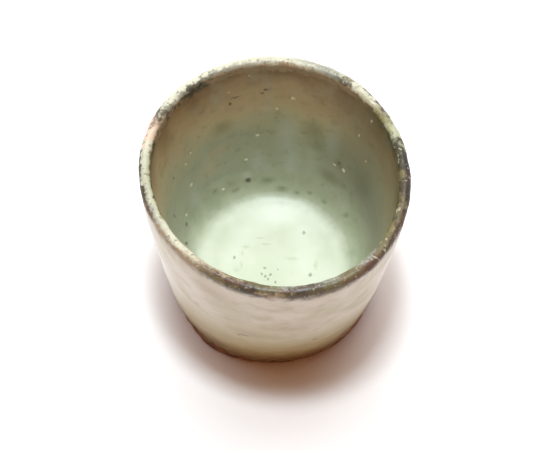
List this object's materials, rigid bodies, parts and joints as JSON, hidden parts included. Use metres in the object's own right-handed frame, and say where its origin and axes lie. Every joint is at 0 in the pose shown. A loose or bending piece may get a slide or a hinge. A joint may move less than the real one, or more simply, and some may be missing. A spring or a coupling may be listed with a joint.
{
  "type": "soba choko cup",
  "caption": "Small tapered stoneware cup without a handle, with a rounded brown lip, off-white outside and pale green inside, for dipping sauce or tea.",
  "frame": {"origin": "centre of the foot ring, on the surface that the cup stands on", "axes": "+Z along the cup's axis, up to the mouth; the cup is round, so X and Y are free"},
  "size_m": [0.08, 0.08, 0.065],
  "materials": {
    "stoneware_clay": "bare fired stoneware, matt and gritty",
    "off_white_glaze": "satin off-white glaze with soft beige mottling",
    "ash_glaze": "thin glossy ash glaze, brown to green, with runs and specks",
    "pooled_glaze": "thick glossy pale mint glaze",
    "iron_glaze": "glossy broken glaze, iron brown, olive and cream"
  },
  "bodies": {
    "root": {"clay_body": "stoneware_clay", "outer_glaze": "off_white_glaze", "inner_glaze": "ash_glaze", "glaze_pool": "pooled_glaze", "rim_glaze": "iron_glaze", "base_glaze": "off_white_glaze"}
  },
  "joints": []
}
